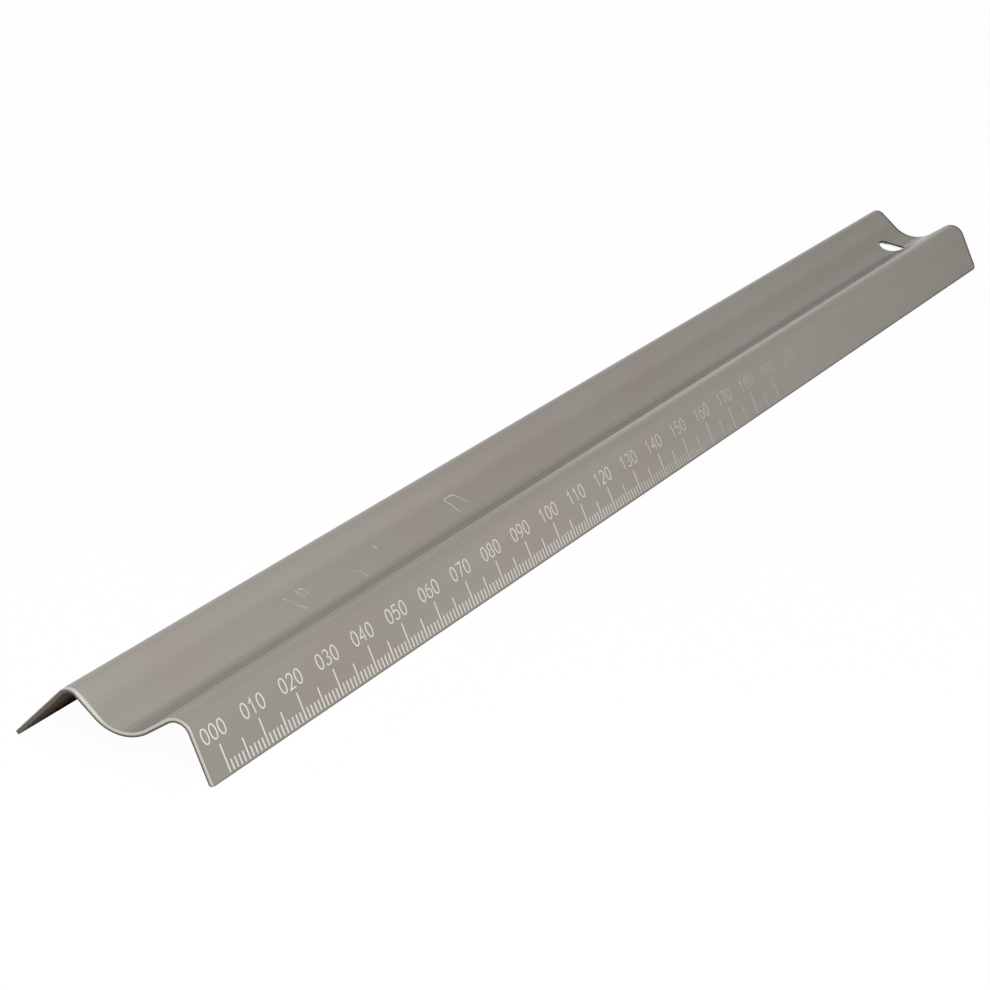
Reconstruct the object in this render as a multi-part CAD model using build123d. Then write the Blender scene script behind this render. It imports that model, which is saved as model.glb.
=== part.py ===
from build123d import *
import os
from math import cos, radians, sin, tan

# Safety ruler: one strip of stainless sheet, bent along its length to a wavy section.
# Millimetres. X runs along the length, from the end where the scale starts to the end
# with the hanging hole. Y runs from the scale edge to the back edge, Z is up.
# The origin lies on the table under the middle of the ruler.

# Blank
overall_length = 302.0
sheet_thickness = 0.65
near_corner_radius = 0.5
far_corner_radius = 1.0

# Bent section, along the middle of the sheet, from the scale edge to the back edge.
# Each height is where the two straight flanks beside it would meet without their bend.
scale_flange_angle = 62.7
low_crest_height = 9.3
rising_flank_angle = 36.0
valley_height = 2.6
inner_slope_angle = 38.0
high_crest_height = 9.0
back_flange_angle = 47.7
low_crest_bend_radius = 2.4
valley_bend_radius = 6.6
high_crest_bend_radius = 1.7

# Hanging hole, punched straight down through the valley, just behind its lowest line
hole_diameter = 5.0
hole_from_far_end = 11.3
hole_behind_valley_floor = 0.6

# Engraved millimetre scale, on the outside of the scale flange
graduation_pitch = 1.0
graduations_per_half = 5
graduation_count = 190
graduation_from_near_end = 4.6
graduation_edge_gap = 0.4
graduation_width = 0.2
graduation_depth = 0.04
plain_mark_length = 1.5
half_mark_length = 3.0
whole_mark_length = 4.0


def section_corners():
    """Corners of the sheet's middle line as (y, z), from the scale edge to the back edge.

    Both long edges are cut square to the sheet, so the ruler stands on their inner corners
    and the middle line ends a little above the table.
    """
    scale_end_z = sheet_thickness / 2 * cos(radians(scale_flange_angle))
    back_end_z = sheet_thickness / 2 * cos(radians(back_flange_angle))
    low_crest_y = (low_crest_height - scale_end_z) / tan(radians(scale_flange_angle))
    valley_y = low_crest_y + (low_crest_height - valley_height) / tan(radians(rising_flank_angle))
    high_crest_y = valley_y + (high_crest_height - valley_height) / tan(radians(inner_slope_angle))
    back_end_y = high_crest_y + (high_crest_height - back_end_z) / tan(radians(back_flange_angle))
    # The scale flange leans back from its outer face, the back flange from its own.
    front_reach = sheet_thickness / 2 * sin(radians(scale_flange_angle))
    back_reach = sheet_thickness / 2 * sin(radians(back_flange_angle))
    middle_y = (back_end_y + back_reach - front_reach) / 2
    return [
        (-middle_y, scale_end_z),
        (low_crest_y - middle_y, low_crest_height),
        (valley_y - middle_y, valley_height),
        (high_crest_y - middle_y, high_crest_height),
        (back_end_y - middle_y, back_end_z),
    ]


def valley_floor_y():
    """Where the valley's bend is level: right under the middle of its arc."""
    corner_y = section_corners()[2][0]
    half_turn = radians(rising_flank_angle + inner_slope_angle) / 2
    lean = radians(rising_flank_angle - inner_slope_angle) / 2
    return corner_y + valley_bend_radius / cos(half_turn) * sin(lean)


def bent_strip():
    """The strip: a middle line with round bends, given its thickness and run along X."""
    bend_radii = [low_crest_bend_radius, valley_bend_radius, high_crest_bend_radius]
    with BuildPart() as strip:
        with BuildSketch(Plane.YZ.offset(-overall_length / 2)):
            with BuildLine():
                middle_line = FilletPolyline(*section_corners(), radius=bend_radii)
            trace(middle_line, line_width=sheet_thickness)
        extrude(amount=overall_length)
    return strip.part


def corner_edges(strip, end):
    """The two edges through the sheet at its corners, at the near end (-1) or at the far end (1)."""
    hair = sheet_thickness / 1000
    return [
        edge
        for edge in strip.edges()
        if abs(edge.length - sheet_thickness) < hair
        and abs(edge.center().X - end * overall_length / 2) < hair
    ]


def rounded_corners(strip):
    """The four corners of the flanges, rounded in the plane of the sheet."""
    strip = fillet(corner_edges(strip, -1), near_corner_radius)
    return fillet(corner_edges(strip, 1), far_corner_radius)


def hanging_hole():
    """A round punch through the valley, near the far end."""
    hole_x = overall_length / 2 - hole_from_far_end
    hole_y = valley_floor_y() + hole_behind_valley_floor
    punch_height = 2 * max(low_crest_height, high_crest_height)
    return Pos(hole_x, hole_y, 0) * Cylinder(hole_diameter / 2, punch_height)


def scale_plane():
    """The outer face of the scale flange: x along the ruler, y up the flange, from the scale edge."""
    edge_y, edge_z = section_corners()[0]
    lean = radians(scale_flange_angle)
    half = sheet_thickness / 2
    outer_edge = (-overall_length / 2, edge_y - half * sin(lean), edge_z + half * cos(lean))
    return Plane(origin=outer_edge, x_dir=(1, 0, 0), z_dir=(0, -sin(lean), cos(lean)))


def graduation_length(index):
    """Marks at whole and half steps of the numbered scale are longer than the rest."""
    if index % (2 * graduations_per_half) == 0:
        return whole_mark_length
    if index % graduations_per_half == 0:
        return half_mark_length
    return plain_mark_length


def graduations():
    """All marks of the scale, as one group of shallow cutters with flat floors."""
    with BuildPart() as cutters:
        with BuildSketch(scale_plane()):
            for length in (plain_mark_length, half_mark_length, whole_mark_length):
                places = [
                    (graduation_from_near_end + index * graduation_pitch, graduation_edge_gap + length / 2)
                    for index in range(graduation_count + 1)
                    if graduation_length(index) == length
                ]
                with Locations(*places):
                    Rectangle(graduation_width, length)
        extrude(amount=graduation_depth, both=True)
    return cutters.part


def ruler_sheet():
    """The whole ruler, one solid."""
    sheet = rounded_corners(bent_strip())
    return sheet - hanging_hole() - graduations()


if __name__ == "__main__":
    os.makedirs("parts", exist_ok=True)
    export_step(ruler_sheet(), "parts/ruler_sheet.step")
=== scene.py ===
"""Safety ruler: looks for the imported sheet, built around its frame.

The ruler is one bent strip of satin stainless sheet. X runs along it, from the end where the
scale starts to the end with the hanging hole, Y from the scale edge to the back edge, Z up.
All sizes are in metres. A flat place is (x, s), where s is the distance across the flat sheet
from the scale edge, and n is a height over the middle of the sheet, square to it.
"""

from __future__ import annotations

import logging
import math
from dataclasses import dataclass, field
from enum import Enum
from functools import cached_property

import bpy
import numpy as np
from mathutils import Matrix, Vector


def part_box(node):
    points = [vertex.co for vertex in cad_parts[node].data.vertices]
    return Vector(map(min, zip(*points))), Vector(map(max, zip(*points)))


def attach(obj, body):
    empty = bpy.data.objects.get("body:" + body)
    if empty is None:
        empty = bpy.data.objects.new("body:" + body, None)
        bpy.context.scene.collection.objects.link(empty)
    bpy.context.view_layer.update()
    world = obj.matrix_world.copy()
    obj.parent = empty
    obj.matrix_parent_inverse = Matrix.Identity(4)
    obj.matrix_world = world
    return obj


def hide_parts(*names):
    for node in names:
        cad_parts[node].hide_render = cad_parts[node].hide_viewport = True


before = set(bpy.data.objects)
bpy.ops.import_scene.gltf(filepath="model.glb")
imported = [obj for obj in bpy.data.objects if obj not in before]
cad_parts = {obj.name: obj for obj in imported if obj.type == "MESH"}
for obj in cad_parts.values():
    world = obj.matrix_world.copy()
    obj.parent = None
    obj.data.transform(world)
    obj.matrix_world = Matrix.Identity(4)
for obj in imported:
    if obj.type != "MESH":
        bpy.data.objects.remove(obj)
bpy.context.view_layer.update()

MM = 0.001
NODE = "ruler_sheet"
BODY = "root"

Array = np.ndarray
Piece = bpy.types.Object
Socket = bpy.types.NodeSocket
Span = tuple[float, float]
Triple = tuple[float, float, float]
Source = Socket | float | Triple | tuple[float, float, float, float]
Stops = tuple[Span, ...]
Path = tuple[Array, bool]

logging.basicConfig(level=logging.INFO, format="%(levelname)s %(name)s: %(message)s")
log = logging.getLogger("safety_ruler")


def in_mm(*stops: Span) -> Stops:
    """Stops whose places are given in millimetres, with the places in metres."""
    return tuple((place * MM, value) for place, value in stops)


class FaceKind(Enum):
    """Which finish a face of the sheet takes, by its place in the mesh's material list."""

    ROLLED = 0
    CUT = 1
    UNDERSIDE = 2
    BORE = 3


@dataclass(frozen=True)
class Noise:
    """Noise drawn out along the ruler.

    Its scale is in features per metre across the ruler, and its stretch is the share of that
    along it. Detail counts the octaves of finer noise.
    """

    scale: float
    stretch: float
    detail: float


@dataclass(frozen=True)
class Zone:
    """A band across the bends that is lighter or darker than the rest, by more at one end.

    Its stops, places along the middle line, go between 0 outside the band and 1 within it. Over
    a run along the ruler the change of lightness goes evenly from its first value to its
    second, and the band moves aside by its lean.
    """

    stops: Stops
    run: Span
    change: Span
    lean: float = 0.0


class Nodes:
    """The nodes of a material or a world, and short calls that add to them."""

    def __init__(self, owner: bpy.types.Material | bpy.types.World) -> None:
        """Starts without nodes.

        Args:
            owner: the material or world that the nodes belong to.
        """
        owner.use_nodes = True
        self.tree = owner.node_tree
        self.tree.nodes.clear()

    def put(self, source: Source, target: Socket) -> None:
        """Joins a socket to a target, or sets the target's own value.

        Args:
            source: the socket or the value.
            target: the input that takes it.
        """
        if isinstance(source, Socket):
            self.tree.links.new(source, target)
        else:
            target.default_value = source

    def add(self, kind: str, *sources: Source, **settings: str) -> bpy.types.Node:
        """Adds a node.

        Args:
            kind: its type.
            sources: sockets or values for its first inputs, in their order.
            settings: choices that its type offers.

        Returns:
            The node.
        """
        node = self.tree.nodes.new(kind)
        for name, choice in settings.items():
            setattr(node, name, choice)
        for source, target in zip(sources, node.inputs):
            self.put(source, target)
        return node

    def maths(self, operation: str, *sources: Socket | float) -> Socket:
        """One sum of numbers."""
        return self.add("ShaderNodeMath", *sources, operation=operation).outputs[0]


class NodeGraph(Nodes):
    """A material with one principled shader, and short calls for the nodes around it."""

    def __init__(self, name: str) -> None:
        """Starts with the shader alone.

        Args:
            name: the material's name.
        """
        self.material = bpy.data.materials.new(name)
        super().__init__(self.material)
        self.shader = self.add("ShaderNodeBsdfPrincipled")
        self.add("ShaderNodeOutputMaterial", self.shader.outputs["BSDF"])

    def shade(self, inputs: dict[str, Source]) -> None:
        """Joins or sets inputs of the shader, by their names."""
        for name, source in inputs.items():
            self.put(source, self.shader.inputs[name])

    @cached_property
    def place(self) -> Socket:
        """The piece's own coordinates, from one node for the whole graph."""
        return self.add("ShaderNodeTexCoord").outputs["Object"]

    def axis(self, number: int) -> Socket:
        """One of the piece's own coordinates: 0 along, 1 across, 2 up."""
        return self.add("ShaderNodeSeparateXYZ", self.place).outputs[number]

    def noise(self, kind: Noise) -> Socket:
        """Adds a stretched noise.

        Args:
            kind: its scale, stretch and detail.

        Returns:
            The noise's factor, from 0 to 1.
        """
        mapping = self.add("ShaderNodeMapping", self.place)
        mapping.inputs["Scale"].default_value = (kind.scale * kind.stretch, kind.scale, kind.scale)
        node = self.add("ShaderNodeTexNoise", mapping.outputs["Vector"])
        node.inputs["Scale"].default_value = 1.0
        node.inputs["Detail"].default_value = kind.detail
        return node.outputs["Fac"]

    def attribute(self, name: str) -> Socket:
        """The factor of a named mesh attribute."""
        return self.add("ShaderNodeAttribute", attribute_name=name).outputs["Fac"]

    def mapped(self, source: Socket, span: Span, to: Span = (0.0, 1.0)) -> Socket:
        """A span mapped evenly to another, and held at both ends."""
        return self.add("ShaderNodeMapRange", source, *span, *to).outputs[0]

    def moved(self, base: Socket, aside: Socket, reach: float, offset: float) -> Socket:
        """base + aside * reach + offset."""
        return self.maths("ADD", base, self.maths("MULTIPLY_ADD", aside, reach, offset))

    def ramp(self, source: Socket, first: Triple, second: Triple, span: Span) -> Socket:
        """A colour that goes evenly from first to second over a span.

        Args:
            source: the place.
            first: the colour at the span's start and before it.
            second: the colour at the span's end and after it.
            span: the two places.

        Returns:
            The colour.
        """
        node = self.add("ShaderNodeValToRGB", source)
        for element, colour, place in zip(node.color_ramp.elements, (first, second), span):
            element.position = place
            element.color = (*colour, 1.0)
        return node.outputs["Color"]

    def profile(self, source: Socket, stops: Stops, top: float = 2.0) -> Socket:
        """A value that goes evenly from stop to stop, by a ramp of greys.

        Args:
            source: the place.
            stops: rising places, each with its value.
            top: a bound over all values.

        Returns:
            The value, held before the first stop and after the last.
        """
        low, high = stops[0][0], stops[-1][0]
        node = self.add("ShaderNodeValToRGB", self.mapped(source, (low, high)))
        elements = node.color_ramp.elements
        for place, _ in stops[1:-1]:
            elements.new((place - low) / (high - low))
        for element, (place, value) in zip(elements, stops):
            element.position = (place - low) / (high - low)
            element.color = (value / top, value / top, value / top, 1.0)
        return self.mapped(node.outputs["Color"], (0.0, 1.0), (0.0, top))

    def mixed(self, share: Socket, colour: Socket, other: Triple) -> Socket:
        """A colour that gives way to another.

        Args:
            share: how much of the other shows, from 0 to 1.
            colour: the colour.
            other: what takes its place.

        Returns:
            The mixed colour.
        """
        node = self.add("ShaderNodeMix", share, data_type="RGBA")
        for source, target in zip((colour, (*other, 1.0)), node.inputs[6:8]):
            self.put(source, target)
        return node.outputs[2]

    def tinted(self, colour: Socket, tint: Socket) -> Socket:
        """A colour times another, or times one share for all of it."""
        return self.add("ShaderNodeVectorMath", colour, tint, operation="MULTIPLY").outputs[0]

    def bump(self, height: Socket, depth: float) -> None:
        """Gives the shader fine relief.

        Args:
            height: the relief's height, from 0 to 1.
            depth: its depth in metres at a height of 1.
        """
        node = self.add("ShaderNodeBump")
        self.put(depth, node.inputs["Distance"])
        self.put(height, node.inputs["Height"])
        self.shade({"Normal": node.outputs["Normal"]})


class Finish:
    """A finish of the steel, which has a name and dresses a shader."""

    name: str

    def dress(self, graph: NodeGraph) -> None:
        """Gives the shader its looks."""
        raise NotImplementedError

    def material(self) -> bpy.types.Material:
        """Builds the node material.

        Returns:
            The material, which reads only Object coordinates and mesh attributes.
        """
        graph = NodeGraph(self.name)
        self.dress(graph)
        return graph.material


@dataclass(frozen=True)
class RolledSteel(Finish):
    """Satin rolled face of the stainless sheet.

    The colour is a warm mid grey. Noise that is stretched along the ruler streaks it, and slow
    noise leads its tint from warm to cool. Across the ruler its lightness carries painted light
    and shade that follows the bends: a painted highlight on the rising flank and along the high
    crest just behind its top, painted shade in a dark line along the foot of the inner slope, and
    a dark and a pale line along the middle of the inner slope. Each of these stops is a distance
    along the middle line and a share of the lightness. The rising flank is rough from handling
    scuffs, several times as rough as the rest, and carries a painted highlight that grows towards
    the far end. The scale flange is darker towards the near end, and the near end's upper edge is
    filed to a pale bevel. Near the long edges, the far end and the hole the face is darkened with
    painted edge shadow.
    """

    section: BentSection
    name: str = "satin_rolled_steel"
    light: Triple = (0.334, 0.305, 0.275)
    dark: Triple = (0.312, 0.283, 0.255)
    cool: Triple = (0.955, 1.0, 0.99)
    warm: Triple = (1.0, 0.99, 0.985)
    filed: Triple = (0.55, 0.53, 0.48)
    metallic: float = 0.27
    specular: float = 0.02
    edge_tint: float = 0.55
    roughness: float = 0.09
    roughness_swing: float = 0.02
    scuff_roughness: float = 5.0
    # Painted light and shade: highlights on the rising flank and high crest, shade by the valley floor.
    across: Stops = in_mm(
        (12.0, 1.0), (15.0, 1.1), (16.2, 1.1), (17.2, 1.06), (18.1, 1.04), (18.6, 0.95),
        (18.95, 0.90), (19.3, 0.90), (19.6, 1.01), (21.5, 1.0), (24.3, 0.95), (26.0, 1.04),
        (28.5, 1.0), (29.1, 1.16), (29.8, 1.16), (30.4, 1.0),
    )
    across_wander: float = 0.4 * MM
    # Rough band on the rising flank, with a painted highlight that grows towards the far end.
    scuffed_and_highlit: Zone = Zone(
        stops=in_mm((10.6, 0.0), (11.6, 1.0), (14.9, 1.0), (16.5, 0.0)),
        run=(-100.0 * MM, -10.0 * MM),
        change=(0.0, 0.5),
        lean=0.4 * MM,
    )
    # The scale flange grows darker towards the near end; only its colour changes.
    near_end_darkening: Zone = Zone(
        stops=in_mm((9.4, 1.0), (10.9, 0.0)),
        run=(-146.0 * MM, -56.0 * MM),
        change=(-0.13, 0.0),
    )
    # Painted edge shadow: near the long edges, the far end and the hole the colour falls to the share
    # below.
    rim: Span = (0.15 * MM, 0.28 * MM)
    edge_painted_shadow: float = 0.32
    bevel_edge: float = 0.03 * MM
    bands: Noise = Noise(260.0, 0.03, 3.0)
    band_tones: Span = (0.32, 0.68)
    band_polish: Span = (0.3, 0.7)
    grain: Noise = Noise(5200.0, 0.02, 4.0)
    grain_height: float = 0.00025 * MM
    patches: Noise = Noise(70.0, 0.35, 2.0)
    patch_tints: Span = (0.35, 0.65)
    patch_tones: Span = (0.25, 0.75)
    patch_contrast: float = 0.03
    drift: Noise = Noise(140.0, 0.2, 2.0)

    def dress(self, graph: NodeGraph) -> None:
        """Colours the face by bands, patches, zones and edges, and grains it.

        Args:
            graph: the material's nodes.
        """
        bands, patches = graph.noise(self.bands), graph.noise(self.patches)
        wander = self.across_wander
        place = graph.moved(graph.axis(1), graph.noise(self.drift), wander, -wander / 2)
        # The band's presence makes it rough; its share of lightness is a painted highlight.
        scuff, scuff_painted_highlight = self._zone(graph, place, self.scuffed_and_highlit)
        steel = graph.ramp(bands, self.dark, self.light, self.band_tones)
        contrast = self.patch_contrast
        for tint in (
            graph.ramp(patches, self.warm, self.cool, self.patch_tints),
            graph.mapped(patches, self.patch_tones, (1 - contrast, 1 + contrast)),
            # Painted light and shade across the bends.
            graph.profile(place, self._placed(self.across)),
            # Painted highlight on the rough band.
            scuff_painted_highlight,
            self._zone(graph, place, self.near_end_darkening)[1],
            # Painted edge shadow near the edges and the hole.
            graph.mapped(graph.attribute("from_shadowed_edge"), self.rim, (self.edge_painted_shadow, 1.0)),
        ):
            steel = graph.tinted(steel, tint)
        edge, swing = self.bevel_edge, self.roughness_swing
        bevel = graph.mapped(graph.attribute("from_bevel"), (-edge, edge), (1.0, 0.0))
        rough = graph.mapped(bands, self.band_polish, (self.roughness - swing, self.roughness + swing))
        graph.shade({
            "Base Color": graph.mixed(bevel, steel, self.filed),
            "Metallic": self.metallic,
            "Specular IOR Level": self.specular,
            "Specular Tint": (self.edge_tint, self.edge_tint, self.edge_tint, 1.0),
            "Roughness": graph.maths(
                "MULTIPLY", rough, graph.mapped(scuff, (0.0, 1.0), (1.0, self.scuff_roughness))
            ),
        })
        graph.bump(graph.noise(self.grain), self.grain_height)

    def _zone(self, graph: NodeGraph, place: Socket, zone: Zone) -> tuple[Socket, Socket]:
        """Adds a zone.

        The lightness is 1 plus the presence times the change for the place along the ruler.

        Args:
            graph: the material's nodes.
            place: the place across the ruler.
            zone: the zone.

        Returns:
            Its presence, from 0 to 1, and the share of lightness that it leaves.
        """
        along = graph.axis(0)
        leant = graph.moved(place, graph.mapped(along, zone.run), zone.lean, 0.0)
        presence = graph.profile(leant, self._placed(zone.stops))
        change = graph.maths("MULTIPLY", presence, graph.mapped(along, zone.run, zone.change))
        return presence, graph.mapped(change, (-1.0, 1.0), (0.0, 2.0))

    def _placed(self, stops: Stops) -> Stops:
        """Moves stops from the middle line to the upper face.

        Args:
            stops: distances along the middle line, each with its value.

        Returns:
            The stops with the y of their places on the upper face.
        """
        s, values = np.array(stops).T
        y = self.section.points(s, self.section.thickness / 2)[:, 0]
        return tuple(zip(y.tolist(), values.tolist()))


@dataclass(frozen=True)
class ShearedEdge(Finish):
    """Cut edge of the sheet: a bright burnished zone on top, dull fractured metal and painted shade
    below.
    """

    name: str = "sheared_edge_steel"
    burnished: Triple = (0.46, 0.44, 0.395)
    # Partly the fractured zone's own dull colour, partly painted shade on the lower part of the edge.
    torn_and_shaded: Triple = (0.09, 0.083, 0.07)
    tear: Span = (0.42, 0.62)
    metallic: float = 0.3
    roughness: float = 0.42
    # Painted edge shadow on the cut edges, by the same distance as on the rolled face.
    rim: Span = (0.10 * MM, 0.34 * MM)
    edge_painted_shadow: float = 0.15

    def dress(self, graph: NodeGraph) -> None:
        """Colours the edge by its depth through the sheet, and darkens it at the rims with painted edge
        shadow.

        Args:
            graph: the material's nodes.
        """
        tint = graph.ramp(graph.attribute("through_sheet"), self.burnished, self.torn_and_shaded, self.tear)
        shade = graph.mapped(graph.attribute("from_shadowed_edge"), self.rim, (self.edge_painted_shadow, 1.0))
        graph.shade({
            "Base Color": graph.tinted(tint, shade),
            "Metallic": self.metallic,
            "Roughness": self.roughness,
        })


@dataclass(frozen=True)
class ShadedUnderside(Finish):
    """Lower face of the sheet: painted dark for the shade under the ruler, mottled and matt."""

    name: str = "underside_painted_shade"
    # Painted shade: these dark browns stand for the shade under the ruler.
    light: Triple = (0.150, 0.120, 0.090)
    dark: Triple = (0.080, 0.063, 0.046)
    specular: float = 0.0
    roughness: float = 0.7
    roughness_swing: float = 0.1
    mottle: Noise = Noise(500.0, 0.15, 3.0)
    mottle_tones: Span = (0.3, 0.7)
    mottle_height: float = 0.004 * MM

    def dress(self, graph: NodeGraph) -> None:
        """Mottles the colour, the polish and the relief alike.

        Args:
            graph: the material's nodes.
        """
        mottle, swing = graph.noise(self.mottle), self.roughness_swing
        polish = (self.roughness + swing, self.roughness - swing)
        graph.shade({
            "Base Color": graph.ramp(mottle, self.dark, self.light, self.mottle_tones),
            "Roughness": graph.mapped(mottle, self.mottle_tones, polish),
            "Specular IOR Level": self.specular,
        })
        graph.bump(mottle, self.mottle_height)


@dataclass(frozen=True)
class PunchedBore(Finish):
    """Wall of the hole: a dark rounded lip on top and a bright burnished wall below."""

    name: str = "punched_bore"
    lip: Triple = (0.03, 0.025, 0.02)
    wall: Triple = (0.93, 0.92, 0.90)
    lip_foot: Span = (0.34, 0.46)
    specular: float = 0.1
    roughness: float = 0.2

    def dress(self, graph: NodeGraph) -> None:
        """Colours and polishes the wall by its depth through the sheet.

        Args:
            graph: the material's nodes.
        """
        through = graph.attribute("through_sheet")
        graph.shade({
            "Base Color": graph.ramp(through, self.lip, self.wall, self.lip_foot),
            "Metallic": graph.mapped(through, self.lip_foot),
            "Specular IOR Level": self.specular,
            "Roughness": self.roughness,
        })


@dataclass(frozen=True)
class EtchedMark(Finish):
    """Pale etched mark, worn towards the far end until it can't be told from the steel.

    The wear at a place is its distance past the sound marks, over the length in which the
    longest marks wear away, times the rate that the attribute wear_rate gives to its kind.
    """

    steel: RolledSteel
    name: str = "etched_mark"
    pale: Triple = (0.62, 0.595, 0.55)
    roughness: float = 0.7
    sound_until: float = -32.0 * MM
    worn_length: float = 112.0 * MM
    uneven: Noise = Noise(420.0, 0.5, 3.0)
    uneven_reach: float = 60.0 * MM

    def dress(self, graph: NodeGraph) -> None:
        """Lets the colour fall from pale to worn along the ruler, unevenly.

        Args:
            graph: the material's nodes.
        """
        start = -self.uneven_reach / 2 - self.sound_until
        along = graph.moved(graph.axis(0), graph.noise(self.uneven), self.uneven_reach, start)
        paced = graph.maths("MULTIPLY", along, graph.attribute("wear_rate"))
        wear = graph.mapped(paced, (0.0, self.worn_length))
        worn = tuple((a + b) / 2 for a, b in zip(self.steel.light, self.steel.dark))
        graph.shade({
            "Base Color": graph.ramp(wear, self.pale, worn, (0.0, 1.0)),
            "Metallic": graph.mapped(wear, (0.0, 1.0), (0.0, self.steel.metallic)),
            "Roughness": graph.mapped(wear, (0.0, 1.0), (self.roughness, self.steel.roughness)),
            "Specular IOR Level": self.steel.specular,
        })


@dataclass(frozen=True)
class Scratched(Finish):
    """Fresh bright steel in a scratch, here and there almost as dull as the face around it."""

    steel: RolledSteel
    name: str = "scratched_steel"
    fresh: Triple = (0.50, 0.475, 0.44)
    roughness: float = 0.4
    strength: Noise = Noise(700.0, 1.0, 2.0)
    strength_tones: Span = (0.3, 0.5)

    def dress(self, graph: NodeGraph) -> None:
        """Lets the scratch come and go with noise.

        Args:
            graph: the material's nodes.
        """
        strength, tones = graph.noise(self.strength), self.strength_tones
        graph.shade({
            "Base Color": graph.ramp(strength, self.steel.light, self.fresh, tones),
            "Metallic": self.steel.metallic,
            "Specular IOR Level": self.steel.specular,
            "Roughness": graph.mapped(strength, tones, (self.steel.roughness, self.roughness)),
        })


@dataclass
class BentSection:
    """The sheet's middle line across the ruler: straight flanks joined by round bends.

    A point of the section is found from s. The heading is constant on a flank and changes
    evenly with s in a bend, and the place is the integral of the heading: a straight step on a
    flank, a step round a circle in a bend. Flanks and bends take turns, seven stretches in all.
    """

    thickness: float = 0.65 * MM
    flange_angle: float = math.radians(62.7)
    low_crest_height: float = 9.3 * MM
    rising_angle: float = math.radians(36.0)
    valley_height: float = 2.6 * MM
    slope_angle: float = math.radians(38.0)
    high_crest_height: float = 9.0 * MM
    back_angle: float = math.radians(47.7)
    low_crest_radius: float = 2.4 * MM
    valley_radius: float = 6.6 * MM
    high_crest_radius: float = 1.7 * MM
    front_y: float = 0.0
    turns: Array = field(init=False)
    starts: Array = field(init=False)
    headings: Array = field(init=False)
    curvatures: Array = field(init=False)
    places: Array = field(init=False)
    length: float = field(init=False)

    def __post_init__(self) -> None:
        """Works out where each stretch starts, its heading there and its curvature."""
        half = self.thickness / 2
        angles = np.array([self.flange_angle, -self.rising_angle, self.slope_angle, -self.back_angle])
        radii = np.array([self.low_crest_radius, self.valley_radius, self.high_crest_radius])
        front_z, back_z = half * np.cos(angles[[0, -1]])
        knees = [front_z, self.low_crest_height, self.valley_height, self.high_crest_height, back_z]
        self.turns = np.diff(angles)
        cuts = np.concatenate([[0.0], radii * np.tan(np.abs(self.turns) / 2), [0.0]])
        count = 2 * len(angles) - 1
        lengths, self.curvatures = np.zeros(count), np.zeros(count)
        lengths[::2] = np.diff(knees) / np.sin(angles) - cuts[:-1] - cuts[1:]
        lengths[1::2] = radii * np.abs(self.turns)
        self.curvatures[1::2] = np.sign(self.turns) / radii
        self.headings = np.repeat(angles, 2)[:-1]
        self.starts = np.concatenate([[0.0], np.cumsum(lengths)[:-1]])
        self.length = float(lengths.sum())
        self.places = np.zeros((count, 2))
        self.places[0] = (self.front_y + half * math.sin(self.flange_angle), front_z)
        for index in range(count - 1):
            self.places[index + 1] = self._step(index, lengths[index])

    def _step(self, index: Array | int, run: Array | float) -> Array:
        """Goes a run into a stretch: its start plus the integral of the heading's direction.

        Args:
            index: numbers of the stretches.
            run: distances into them.

        Returns:
            An array (..., 2) of y and z.
        """
        heading, curvature = self.headings[index], self.curvatures[index]
        bent = np.abs(curvature) > 0
        safe = np.where(bent, curvature, 1.0)
        end = heading + curvature * run
        dy = np.where(bent, (np.sin(end) - np.sin(heading)) / safe, run * np.cos(heading))
        dz = np.where(bent, (np.cos(heading) - np.cos(end)) / safe, run * np.sin(heading))
        return self.places[index] + np.stack([dy, dz], axis=-1)

    def points(self, s: Array, n: Array | float) -> Array:
        """Points of the sheet: the middle line at s plus n times its upward normal there.

        Args:
            s: distances along the middle line.
            n: heights over it.

        Returns:
            An array (..., 2) of y and z.
        """
        index = np.clip(np.searchsorted(self.starts, s, side="right") - 1, 0, len(self.starts) - 1)
        run = s - self.starts[index]
        heading = self.headings[index] + self.curvatures[index] * run
        normal = np.stack([-np.sin(heading), np.cos(heading)], axis=-1)
        return self._step(index, run) + normal * np.broadcast_to(n, s.shape)[..., None]

    def carried(self, flat: Array, n: Array | float) -> Array:
        """Flat places carried through the bends: x stays, s and n become y and z."""
        return np.concatenate([flat[..., :1], self.points(flat[..., 1], n)], axis=-1)

    def valley_floor(self) -> float:
        """The s at which the valley's bend is level."""
        return float(self.starts[3] + self.valley_radius * self.rising_angle)


def mesh_object(name: str, vertices: Array, faces: Array, smooth: bool = True) -> Piece:
    """A mesh object at the origin, from whole arrays.

    Args:
        name: the piece's name.
        vertices: places, one row each.
        faces: quads, as rows of four vertex numbers, counter-clockwise from outside.
        smooth: whether its faces are shaded smooth.

    Returns:
        The object, linked to the scene.
    """
    mesh = bpy.data.meshes.new(name)
    mesh.from_pydata(vertices.tolist(), [], faces.tolist())
    mesh.polygons.foreach_set("use_smooth", np.full(len(mesh.polygons), smooth))
    mesh.update()
    piece = bpy.data.objects.new(name, mesh)
    bpy.context.scene.collection.objects.link(piece)
    return piece


def set_attribute(piece: Piece, name: str, values: Array) -> None:
    """Writes one value for each vertex under a name that finishes can read."""
    attribute = piece.data.attributes.new(name, "FLOAT", "POINT")
    attribute.data.foreach_set("value", values)


def unit_rows(rows: Array) -> Array:
    """Each row over its length."""
    return rows / np.linalg.norm(rows, axis=1, keepdims=True)


def turned_left(rows: Array) -> Array:
    """Each direction turned left by a quarter turn."""
    return np.stack([-rows[:, 1], rows[:, 0]], axis=-1)


def divided(*stops: tuple[float, int]) -> Array:
    """Rising places, from stops that each say how many even cells lead up to the next."""
    runs = [np.linspace(low, high, count, False) for (low, count), (high, _) in zip(stops, stops[1:])]
    return np.concatenate([*runs, [stops[-1][0]]])


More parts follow.
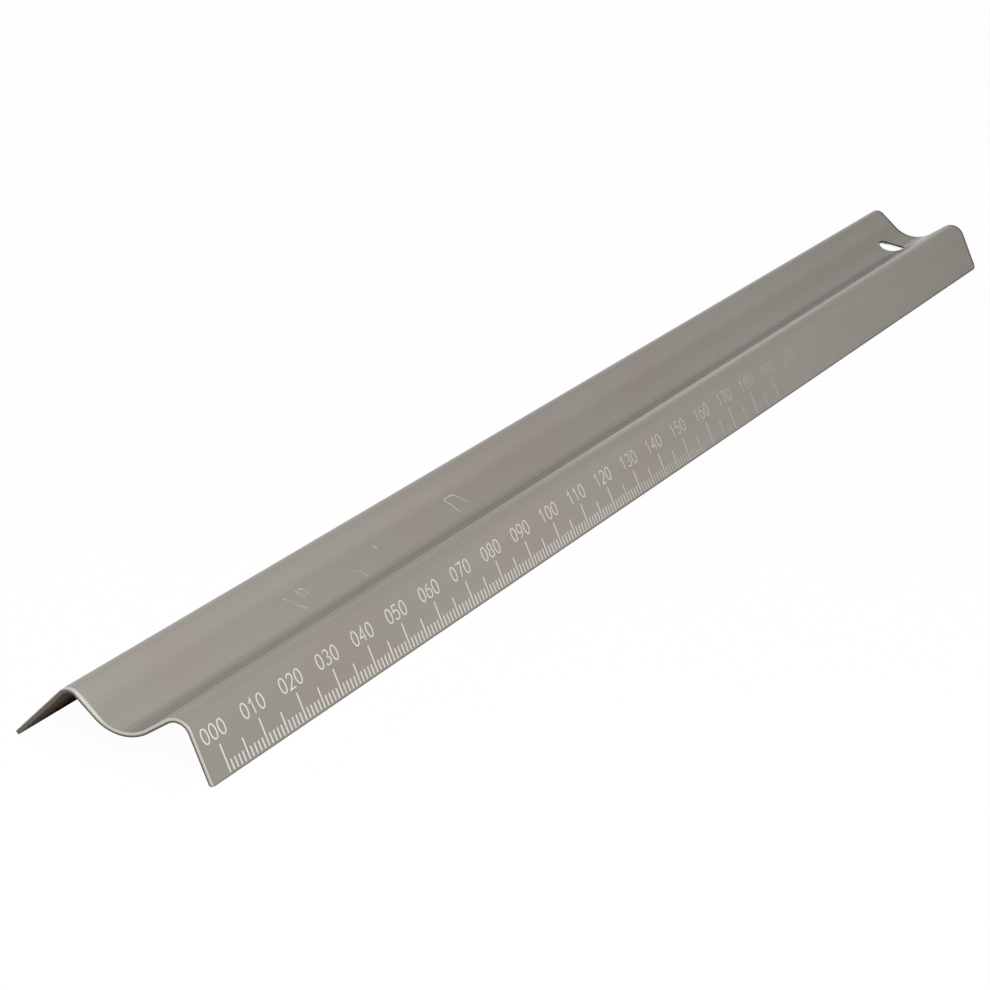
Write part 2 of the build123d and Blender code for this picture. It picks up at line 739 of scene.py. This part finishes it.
def cells(number: Array) -> Array:
    """Quads between a grid's rows and columns, counter-clockwise with rows right, columns up."""
    corners = [number[:-1, :-1], number[1:, :-1], number[1:, 1:], number[:-1, 1:]]
    return np.stack(corners, axis=-1).reshape(-1, 4)


def border(number: Array) -> Array:
    """The numbers round a grid's outside, in one loop that turns as its cells do."""
    return np.concatenate([number[:-1, 0], number[-1, :-1], number[:0:-1, -1], number[0, :0:-1]])


def closed_rows(number: Array) -> Array:
    """Rows that end where they began, so that their cells go all the way round."""
    return np.hstack([number, number[:, :1]])


@dataclass
class RulerSheet:
    """The bent strip: worked out flat, as it was cut, then carried through the bends.

    Both faces are the same grid of flat places. Its corners are drawn in to round ones, and a
    square of cells round the hole is exchanged for rings that go over from the square to the
    circle. Walls with rounded edges join the two faces round the outline and in the hole.
    """

    section: BentSection
    length: float
    near_corner: float = 0.5 * MM
    far_corner: float = 1.0 * MM
    corner_cells: int = 4
    edge_round: float = 0.09 * MM
    round_steps: int = 3
    wall_steps: int = 4
    hole_radius: float = 2.5 * MM
    hole_from_end: float = 11.3 * MM
    hole_behind_floor: float = 0.6 * MM
    hole_patch: float = 4.1 * MM
    patch_cells: int = 24
    ring_count: int = 7
    column_pitch: float = 5.0 * MM
    bend_step: float = math.radians(2.6)
    flange_cells: int = 3
    flank_cells: int = 4
    valley_lead_cells: int = 2
    back_burr: float = 0.3
    # How far in the painted edge shadow reaches from each edge: a smaller share reaches further.
    near_rim_share: float = 1.5
    far_rim_share: float = 0.8
    end_rim_share: float = 0.28
    hole_rim_share: float = 0.9
    bevel: Span = (21.0 * MM, 31.5 * MM)
    bevel_width: float = 0.5 * MM
    hole_x: float = field(init=False)
    hole_s: float = field(init=False)
    near: float = field(init=False)
    far: float = field(init=False)

    def __post_init__(self) -> None:
        """Works out the hole's axis, and how far the faces' own corners are round.

        The axis stands at the s whose sine on the valley's arc is the hole's offset from its
        floor. Both corners lose the rounded edge.
        """
        radius = self.section.valley_radius
        self.hole_x = self.length / 2 - self.hole_from_end
        self.hole_s = self.section.valley_floor() + radius * math.asin(self.hole_behind_floor / radius)
        self.near = self.near_corner - self.edge_round
        self.far = self.far_corner - self.edge_round

    def _x_lines(self) -> tuple[Array, int]:
        """Lays out the grid lines along x, close at the corners and round the hole.

        Returns:
            The lines, and the number of the first one in the hole's square.
        """
        near, far, end = self.near, self.far, self.length / 2 - self.edge_round
        low, high = self.hole_x - self.hole_patch, self.hole_x + self.hole_patch
        columns = max(2, round((low + end - near) / self.column_pitch))
        last_columns = max(1, round((end - far - high) / self.column_pitch) + 1)
        lines = divided(
            (-end, self.corner_cells), (-end + near, columns), (low, self.patch_cells),
            (high, last_columns), (end - far, 2 * self.corner_cells), (end, 0),
        )
        return lines, self.corner_cells + columns

    def _s_lines(self) -> tuple[Array, int]:
        """Lays out the grid lines along s, close at the corners, in the bends and at the hole.

        Returns:
            The lines, and the number of the first one in the hole's square.
        """
        near, far, start = self.near, self.far, self.edge_round
        end = self.section.length - self.edge_round
        low_bend, rise, valley, _, high_bend, back = self.section.starts[1:]
        low_cells, _, high_cells = np.ceil(np.abs(self.section.turns) / self.bend_step).astype(int)
        front = (
            (start, self.corner_cells), (start + near, self.corner_cells),
            (start + far, self.flange_cells), (low_bend, low_cells), (rise, self.flank_cells),
            (valley, self.valley_lead_cells),
        )
        lines = divided(
            *front,
            (self.hole_s - self.hole_patch, self.patch_cells),
            (self.hole_s + self.hole_patch, self.flank_cells),
            (high_bend, high_cells), (back, self.flank_cells),
            (end - far, self.corner_cells), (end - near, self.corner_cells), (end, 0),
        )
        return lines, sum(count for _, count in front)

    def _rounded(self, x: Array, s: Array) -> Array:
        """Draws each square corner in to a quarter circle.

        In a corner's square, p and q run from 0 at its inner sides to 1 at the sheet's edges.
        They become p * sqrt(1 - q^2 / 2) and q * sqrt(1 - p^2 / 2), which takes the square's
        outer sides to the quarter circle and leaves its inner sides alone.

        Args:
            x: places along the ruler.
            s: places across it.

        Returns:
            The flat places, one row each.
        """
        radius = np.where(x < 0, self.near_corner, self.far_corner)
        corner = radius - self.edge_round
        inner_x = self.length / 2 - radius
        middle_s = self.section.length / 2
        inner_s = middle_s - radius
        p = (np.abs(x) - inner_x) / corner
        q = (np.abs(s - middle_s) - inner_s) / corner
        inside = (p > 0) & (q > 0)
        p, q = np.where(inside, p, 0), np.where(inside, q, 0)
        new_x = np.sign(x) * (inner_x + corner * p * np.sqrt(1 - q**2 / 2))
        new_s = middle_s + np.sign(s - middle_s) * (inner_s + corner * q * np.sqrt(1 - p**2 / 2))
        flat = np.stack([np.where(inside, new_x, x), np.where(inside, new_s, s)], axis=-1)
        return flat.reshape(-1, 2)

    def _hole_circle(self, angle: Array, radius: Array | float, n: Array | float) -> Array:
        """Flat places of a circle punched straight down through the valley.

        A place at a distance behind the valley floor, on the layer n above the middle line,
        lies at the arc whose sine is that distance over the layer's radius.

        Args:
            angle: angles about the hole.
            radius: the circle's radius.
            n: the layer's height.

        Returns:
            An array (..., 2) of x and s.
        """
        across = self.hole_behind_floor + radius * np.sin(angle)
        arc_s = self.section.valley_radius * np.arcsin(across / (self.section.valley_radius - n))
        x = self.hole_x + radius * np.cos(angle)
        return np.stack([x, self.section.valley_floor() + arc_s], axis=-1)

    def _face(self, grid: Array, square: Array, angle: Array, n: float) -> Array:
        """One face's places: the grid, then rings from the hole's square in to its circle.

        Args:
            grid: flat places of the grid.
            square: numbers of the places round the hole's square.
            angle: their angles about the hole.
            n: the face's height.

        Returns:
            Rows of x, s and n.
        """
        share = (np.arange(1, self.ring_count + 1) / self.ring_count)[:, None, None]
        circle = self._hole_circle(angle, self.hole_radius + self.edge_round, n)
        rings = grid[square] * (1 - share) + circle * share
        flat = np.vstack([grid, rings.reshape(-1, 2)])
        return np.hstack([flat, np.full((len(flat), 1), n)])

    def _edge_profile(self) -> tuple[Array, Array]:
        """The cut edge's profile: a quarter circle, a straight stretch, a quarter circle.

        Returns:
            How far each of its rows stands out from the faces' edge, and its n.
        """
        turn = np.linspace(math.pi / 2, 0, self.round_steps + 1)[1:]
        round_out = self.edge_round * np.cos(turn)
        round_n = self.section.thickness / 2 - self.edge_round + self.edge_round * np.sin(turn)
        middle_n = np.linspace(round_n[-1], -round_n[-1], self.wall_steps + 1)[1:-1]
        out = np.concatenate([round_out, np.full(len(middle_n), self.edge_round), round_out[::-1]])
        return out, np.concatenate([round_n, middle_n, -round_n[::-1]])

    def build(self) -> Piece:
        """Builds the closed mesh of the sheet, with its edges rounded and its hole.

        Returns:
            The object, each kind of face with its place in the material list, and the
            attributes that the finishes read.
        """
        half = self.section.thickness / 2
        (x_lines, first_x), (s_lines, first_s) = self._x_lines(), self._s_lines()
        grid = self._rounded(*np.meshgrid(x_lines, s_lines, indexing="ij"))
        number = np.arange(len(grid)).reshape(len(x_lines), len(s_lines))
        lines_across = self.patch_cells + 1
        patch = number[first_x:first_x + lines_across, first_s:first_s + lines_across]
        outline, square = border(number), border(patch)
        toward = grid[square] - (self.hole_x, self.hole_s)
        angle = np.arctan2(toward[:, 1], toward[:, 0])
        # The faces: the grid outside the hole's square, and the rings within it.
        places = [self._face(grid, square, angle, n) for n in (half, -half)]
        count = len(places[0])
        rings = np.vstack([square, np.arange(len(grid), count).reshape(-1, len(square))])
        outside = ~np.isin(number[:-1, :-1], patch[:-1, :-1]).ravel()
        face = np.vstack([cells(number)[outside], cells(closed_rows(rings).T)])
        faces = [(FaceKind.ROLLED, face), (FaceKind.UNDERSIDE, face[:, ::-1] + count)]
        # The walls: rows of places from one face's edge to the other's.
        out, n = self._edge_profile()
        around = grid[outline]
        outward = -turned_left(unit_rows(np.roll(around, -1, axis=0) - np.roll(around, 1, axis=0)))
        radii = self.hole_radius + self.edge_round - out[:, None]
        total = 2 * count
        for kind, loop, rows in (
            (FaceKind.CUT, outline, around + outward * out[:, None, None]),
            (FaceKind.BORE, rings[-1][::-1], self._hole_circle(angle[::-1], radii, n[:, None])),
        ):
            heights = np.broadcast_to(n[:, None, None], (*rows.shape[:2], 1))
            places.append(np.concatenate([rows, heights], axis=-1).reshape(-1, 3))
            numbers = np.arange(total, total + len(places[-1])).reshape(len(n), -1)
            faces.append((kind, cells(closed_rows(np.vstack([loop, numbers, loop + count])))))
            total += len(places[-1])
        return self._assembled(np.vstack(places), faces)

    def _assembled(self, places: Array, faces: list[tuple[FaceKind, Array]]) -> Piece:
        """Makes the piece, without the places that no face uses.

        Args:
            places: rows of x, s and n.
            faces: quads of each kind, as rows of place numbers.

        Returns:
            The object.
        """
        used, quads = np.unique(np.vstack([rows for _, rows in faces]), return_inverse=True)
        x, s, n = places[used].T
        vertices = self.section.carried(places[used, :2], n)
        piece = mesh_object("ruler_sheet_finished", vertices, quads.reshape(-1, 4))
        kinds = np.repeat([kind.value for kind, _ in faces], [len(rows) for _, rows in faces])
        piece.data.polygons.foreach_set("material_index", kinds)
        set_attribute(piece, "through_sheet", self._through_sheet(s, n))
        set_attribute(piece, "from_shadowed_edge", self._from_shadowed_edge(x, s))
        set_attribute(piece, "from_bevel", self._from_bevel(x, s))
        return piece

    def _through_sheet(self, s: Array, n: Array) -> Array:
        """Depth through the sheet, from 0 at the upper face to 1 at the lower one.

        The back flange's burr is added, going over in the high crest's bend.

        Args:
            s: places across the ruler.
            n: heights over the middle of the sheet.

        Returns:
            The depths.
        """
        start, end = self.section.starts[5:]
        on_back = np.clip((s - start) / (end - start), 0, 1)
        return 0.5 - n / self.section.thickness + self.back_burr * on_back

    def _from_shadowed_edge(self, x: Array, s: Array) -> Array:
        """Distance to the nearest edge with painted edge shadow, times that edge's share.

        A small share lets the painted shadow reach further in. It widens along both long edges from
        the near end to the far one, is widest at the far end, and the near end has none.

        Args:
            x: places along the ruler.
            s: places across it.

        Returns:
            The distances.
        """
        along = x / self.length + 0.5
        share = self.near_rim_share + (self.far_rim_share - self.near_rim_share) * along
        side = np.minimum(s, self.section.length - s) * share
        end = (self.length / 2 - x) * self.end_rim_share
        hole = (np.hypot(x - self.hole_x, s - self.hole_s) - self.hole_radius) * self.hole_rim_share
        return np.maximum(np.minimum(np.minimum(end, side), hole), 0)

    def _from_bevel(self, x: Array, s: Array) -> Array:
        """Distance past the near end's filed bevel, a half wave wide across the high crest."""
        turn = np.clip((s - self.bevel[0]) / (self.bevel[1] - self.bevel[0]), 0, 1) * math.pi
        return x + self.length / 2 - self.bevel_width * np.sin(turn)


@dataclass(frozen=True)
class FlatPen:
    """Draws thin slabs on the upper face from paths laid out as flat places."""

    section: BentSection
    stroke: float
    thin_share: float = 1.0
    depth: float = 0.04 * MM
    proud: float = 0.006 * MM
    least_mitre: float = 0.35

    def slab(self, flat: Array, top: bool) -> Array:
        """Flat places set at the slab's upper or lower side and carried through the bends."""
        height = self.proud if top else -self.depth
        return self.section.carried(flat, self.section.thickness / 2 + height)

    def draw(self, name: str, paths: list[Path]) -> Piece:
        """Draws one piece from many paths.

        Args:
            name: the piece's name.
            paths: each path with whether it is closed.

        Returns:
            The object.
        """
        vertices: list[Array] = []
        faces: list[Array] = []
        total = 0
        for path, closed in paths:
            points, quads = self._stroke(path, closed)
            vertices.append(points)
            faces.append(quads + total)
            total += len(points)
        return mesh_object(name, np.vstack(vertices), np.vstack(faces), smooth=False)

    def _stroke(self, path: Array, closed: bool) -> tuple[Array, Array]:
        """A slab along a path, as wide as a flat pen draws it.

        Each side is the path plus or minus half the width along its mitre, the sum of the
        normals of the two runs that meet there, lengthened so that the width stays even. The
        width is whole where the path runs up and the thin share of it where it runs across.

        Args:
            path: flat places, one row each.
            closed: whether it ends where it began.

        Returns:
            The slab's places, and its quads as rows of place numbers.
        """
        before = path - np.roll(path, 1, axis=0)
        ahead = np.roll(path, -1, axis=0) - path
        if not closed:
            before[0], ahead[-1] = ahead[0], before[-1]
        first = unit_rows(before)
        heading = unit_rows(first + unit_rows(ahead))
        mitre = turned_left(heading)
        reach = (mitre * turned_left(first)).sum(axis=1, keepdims=True)
        width = self.stroke * (self.thin_share + (1 - self.thin_share) * np.abs(heading[:, 1:]))
        side = mitre / np.maximum(reach, self.least_mitre) * width / 2
        rows = [
            self.slab(path + way * side, top)
            for way, top in ((1, False), (-1, False), (-1, True), (1, True))
        ]
        number = np.arange(4 * len(path)).reshape(-1, 4)
        quads = cells(closed_rows(np.vstack([number, number[:1]]) if closed else number))
        if not closed:
            quads = np.vstack([quads, number[0], number[-1][::-1]])
        return np.stack(rows, axis=1).reshape(-1, 3), quads


@dataclass
class Scale:
    """Millimetre marks and plain numbers, etched on the outside of the flange.

    Both are laid out flat, and are thin slabs that fill the etching.
    """

    section: BentSection
    length: float
    start: float = 4.6 * MM
    pitch: float = 1.0 * MM
    count: int = 190
    half_step: int = 5
    whole_step: int = 10
    edge_gap: float = 0.4 * MM
    mark_width: float = 0.30 * MM
    plain: float = 1.5 * MM
    half: float = 3.0 * MM
    whole: float = 4.0 * MM
    digit_height: float = 2.15 * MM
    digit_width: float = 1.4 * MM
    digit_step: float = 2.05 * MM
    digit_gap: float = 0.75 * MM
    digit_shift: float = -0.3 * MM
    digit_lean: float = -0.12
    stroke: float = 0.27 * MM
    thin_share: float = 0.6
    last_number: int = 210
    half_wear: float = 1.25
    plain_wear: float = 2.0
    number_wear: float = 1.15

    def marks(self) -> Piece:
        """Builds all marks: boxes of three lengths, worked out as one array.

        Returns:
            The object.
        """
        index = np.arange(self.count + 1)
        kinds = [index % self.whole_step == 0, index % self.half_step == 0]
        reach = np.select(kinds, [self.whole, self.half], self.plain)
        wear = np.select(kinds, [1.0, self.half_wear], self.plain_wear)
        x = -self.length / 2 + self.start + index * self.pitch
        across, up = np.array([[-0.5, 0.5, 0.5, -0.5], [0.0, 0.0, 1.0, 1.0]])
        s = self.edge_gap + reach[:, None] * up
        flat = np.stack([x[:, None] + across * self.mark_width, s], axis=-1)
        pen = FlatPen(self.section, self.mark_width)
        corners = np.concatenate([pen.slab(flat, False), pen.slab(flat, True)], axis=1)
        # A box has its lower side, its upper side and four walls.
        number = np.arange(corners.shape[1]).reshape(2, -1)
        box = np.vstack([np.roll(number[0, ::-1], 1), number[1], cells(closed_rows(number).T)])
        faces = (box + number.size * index[:, None, None]).reshape(-1, 4)
        piece = mesh_object("millimetre_marks", corners.reshape(-1, 3), faces, smooth=False)
        set_attribute(piece, "wear_rate", np.repeat(wear, number.size))
        return piece

    def numbers(self) -> Piece:
        """Builds the distance in millimetres over each tenth mark, as three thin digits.

        Returns:
            The object.
        """
        size = np.array([self.digit_width, self.digit_height])
        foot = self.edge_gap + self.whole + self.digit_gap
        paths: list[Path] = []
        for value in range(0, self.last_number + 1, self.whole_step):
            middle = -self.length / 2 + self.start + value * self.pitch + self.digit_shift
            for place, digit in enumerate(f"{value:03d}"):
                left = middle + (place - 1) * self.digit_step - self.digit_width / 2
                for path, closed in DIGITS[digit]:
                    flat = path * size
                    lean = (flat[:, 1:] - self.digit_height / 2) * (self.digit_lean, 0)
                    paths.append((flat + lean + (left, foot), closed))
        piece = FlatPen(self.section, self.stroke, self.thin_share).draw("scale_numbers", paths)
        set_attribute(piece, "wear_rate", np.full(len(piece.data.vertices), self.number_wear))
        return piece


@dataclass
class Hairlines:
    """Hairline scratches on the inner slope, each a short path of places in millimetres.

    A place is given from the near end and, along the middle line, from the scale edge.
    """

    section: BentSection
    length: float
    width: float = 0.22 * MM
    depth: float = 0.02 * MM
    proud: float = 0.003 * MM
    single: Stops = ((48.9, 24.1), (49.6, 23.3), (50.3, 21.8), (50.8, 20.6))
    arched: Stops = ((52.8, 24.2), (54.0, 23.9), (54.3, 23.5), (54.4, 22.8))
    arched_inner: Stops = ((52.2, 24.1), (52.9, 23.8), (53.6, 23.0))
    arched_low: Stops = ((52.2, 23.8), (53.0, 22.6))
    bowed: Stops = ((66.9, 21.9), (67.7, 21.3), (67.5, 20.3), (67.0, 19.5))
    tick: Stops = ((75.2, 24.0), (75.5, 23.5), (75.4, 23.0))
    hooked: Stops = (
        (103.2, 21.7), (102.8, 23.2), (102.3, 23.8), (101.8, 24.2), (100.8, 24.3), (99.4, 24.3),
        (98.9, 24.1), (99.0, 23.8), (99.4, 22.8), (99.3, 21.7), (99.2, 20.7),
    )

    def build(self) -> Piece:
        """Builds all scratches as one piece.

        Returns:
            The object.
        """
        pen = FlatPen(self.section, self.width, depth=self.depth, proud=self.proud)
        arches = (self.arched, self.arched_inner, self.arched_low)
        scratches = (self.single, *arches, self.bowed, self.tick, self.hooked)
        paths = [(np.array(path) * MM - (self.length / 2, 0), False) for path in scratches]
        return pen.draw("hairline_scratches", paths)


def arc(cx: float, cy: float, rx: float, ry: float, start: float, end: float, step: float = 15) -> Array:
    """Points of an ellipse's arc from start to end, with angles in degrees, a step or less apart."""
    angle = np.radians(np.linspace(start, end, max(2, math.ceil(abs(end - start) / step)) + 1))
    return np.stack([cx + rx * np.cos(angle), cy + ry * np.sin(angle)], axis=-1)


def ring(cx: float, cy: float, rx: float, ry: float) -> Path:
    """A whole ellipse as a closed path."""
    return arc(cx, cy, rx, ry, 0, 360)[:-1], True


def stroke(*parts: Array | Span) -> Path:
    """An open path through its parts, each an arc's points or a single one."""
    return np.vstack(parts).astype(float), False


def six() -> list[Path]:
    """The digit 6: a bowl and a stem that curves up from its left side."""
    return [ring(0.5, 0.32, 0.5, 0.32), stroke(arc(0.92, 0.32, 0.92, 0.68, 105, 172))]


DIGITS: dict[str, list[Path]] = {
    "0": [ring(0.5, 0.5, 0.5, 0.5)],
    "1": [stroke((0.15, 0.74), (0.55, 1.0), (0.55, 0.0))],
    "2": [stroke(arc(0.5, 0.70, 0.46, 0.30, 165, -35), (0.0, 0.0), (1.0, 0.0))],
    "3": [stroke(arc(0.46, 0.76, 0.42, 0.24, 150, -80), arc(0.46, 0.27, 0.5, 0.27, 80, -150))],
    "4": [stroke((0.76, 0.0), (0.76, 1.0), (0.0, 0.32), (1.0, 0.32))],
    "5": [stroke((0.9, 1.0), (0.14, 1.0), (0.08, 0.56), arc(0.46, 0.32, 0.5, 0.32, 115, -150))],
    "6": six(),
    "7": [stroke((0.0, 1.0), (1.0, 1.0), (0.35, 0.0))],
    "8": [ring(0.5, 0.76, 0.40, 0.24), ring(0.5, 0.26, 0.5, 0.26)],
    "9": [(1 - path, closed) for path, closed in six()],
}


@dataclass(frozen=True)
class Lamp:
    """A square soft lamp that faces the ruler's middle."""

    name: str
    place: Triple
    size: float
    watts: float

    def build(self) -> None:
        """Adds the lamp to the scene."""
        data = bpy.data.lights.new(self.name, "AREA")
        data.size = self.size
        data.energy = self.watts
        lamp = bpy.data.objects.new(self.name, data)
        lamp.location = self.place
        lamp.rotation_euler = (-Vector(self.place)).to_track_quat("-Z", "Y").to_euler()
        bpy.context.scene.collection.objects.link(lamp)


@dataclass
class Studio:
    """Pale floor, soft light and the camera at the photograph's angle."""

    floor_size: float = 6.0
    paper: float = 0.9
    paper_glow: float = 0.97
    ambient: float = 0.33
    key: Lamp = Lamp("key", (-0.39, -0.24, 0.37), 0.25, 2.7)
    back_fill: Lamp = Lamp("back_fill", (0.25, 0.95, 0.22), 0.5, 4.0)
    image_side: int = 990
    focal_pixels: float = 3325.0
    sensor: float = 36.0
    view_depth: float = 20.0
    camera_place: Triple = (-0.4871, -0.2121, 0.1819)
    azimuth: float = math.radians(25.38)
    elevation: float = math.radians(-19.77)
    roll: float = math.radians(3.53)

    def camera(self) -> None:
        """Places the scene's camera from its azimuth, elevation and roll."""
        data = bpy.data.cameras.new("view")
        data.sensor_width = self.sensor
        data.lens = self.focal_pixels / self.image_side * self.sensor
        data.clip_end = self.view_depth
        forward = Vector((
            math.cos(self.elevation) * math.cos(self.azimuth),
            math.cos(self.elevation) * math.sin(self.azimuth),
            math.sin(self.elevation),
        ))
        right = forward.cross(Vector((0, 0, 1))).normalized()
        up = right.cross(forward)
        turned_right = right * math.cos(self.roll) + up * math.sin(self.roll)
        turned_up = up * math.cos(self.roll) - right * math.sin(self.roll)
        axes = Matrix((turned_right, turned_up, -forward)).transposed().to_4x4()
        camera = bpy.data.objects.new("view", data)
        camera.matrix_world = Matrix.Translation(self.camera_place) @ axes
        bpy.context.scene.collection.objects.link(camera)
        bpy.context.scene.camera = camera

    def floor(self) -> None:
        """Lays a plain floor of white paper, which shows white and keeps a soft shadow."""
        half = self.floor_size / 2
        corners = np.array([[-half, -half, 0], [half, -half, 0], [half, half, 0], [-half, half, 0]])
        floor = mesh_object("floor", corners, np.array([[0, 1, 2, 3]]), smooth=False)
        material = bpy.data.materials.new("floor_paper")
        nodes = Nodes(material)
        paper = nodes.add("ShaderNodeBsdfDiffuse", (self.paper, self.paper, self.paper, 1.0))
        glow = nodes.add("ShaderNodeEmission", (1.0, 1.0, 1.0, 1.0), 1.0)
        seen = self._seen(nodes, self.paper_glow)
        mix = nodes.add("ShaderNodeMixShader", seen, paper.outputs[0], glow.outputs[0])
        nodes.add("ShaderNodeOutputMaterial", mix.outputs[0])
        floor.data.materials.append(material)

    @staticmethod
    def _seen(nodes: Nodes, share: float) -> Socket:
        """Tells what is looked at, straight or by a reflection, from what only lights.

        Args:
            nodes: the nodes that it is for.
            share: its value where it is looked at.

        Returns:
            The share for rays from the camera or off gloss or glass, otherwise 0.
        """
        rays = nodes.add("ShaderNodeLightPath").outputs
        gloss = nodes.maths("MAXIMUM", rays["Is Camera Ray"], rays["Is Glossy Ray"])
        return nodes.maths("MULTIPLY", nodes.maths("MAXIMUM", gloss, rays["Is Transmission Ray"]), share)

    def world(self) -> None:
        """Makes the world white where it is seen, and a plain soft light elsewhere."""
        world = bpy.data.worlds.new("studio")
        bpy.context.scene.world = world
        nodes = Nodes(world)
        strength = nodes.maths("ADD", self._seen(nodes, 1.0 - self.ambient), self.ambient)
        light = nodes.add("ShaderNodeBackground", (1.0, 1.0, 1.0, 1.0), strength)
        nodes.add("ShaderNodeOutputWorld", light.outputs[0])

    def build(self) -> None:
        """Sets up the whole studio."""
        bpy.context.scene.view_settings.view_transform = "Standard"
        for step in (self.camera, self.world, self.floor, self.key.build, self.back_fill.build):
            step()


def main() -> None:
    """Builds the ruler and its studio, and ties each piece to the frame."""
    low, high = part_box(NODE)
    section, length = BentSection(front_y=float(low[1])), float(high[0] - low[0])
    sheet = RulerSheet(section, length).build()
    rolled = RolledSteel(section)
    finishes = {
        FaceKind.ROLLED: rolled,
        FaceKind.CUT: ShearedEdge(),
        FaceKind.UNDERSIDE: ShadedUnderside(),
        FaceKind.BORE: PunchedBore(),
    }
    for kind in FaceKind:
        sheet.data.materials.append(finishes[kind].material())
    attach(sheet, BODY)
    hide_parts(NODE)
    log.info("%s: %d faces", sheet.name, len(sheet.data.polygons))
    scale = Scale(section, length)
    etched, scratched = EtchedMark(rolled).material(), Scratched(rolled).material()
    scratches = Hairlines(section, length).build()
    for piece, finish in ((scale.marks(), etched), (scale.numbers(), etched), (scratches, scratched)):
        piece.data.materials.append(finish)
        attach(piece, BODY)
        log.info("%s: %d faces", piece.name, len(piece.data.polygons))
    Studio().build()


if __name__ == "__main__":
    main()
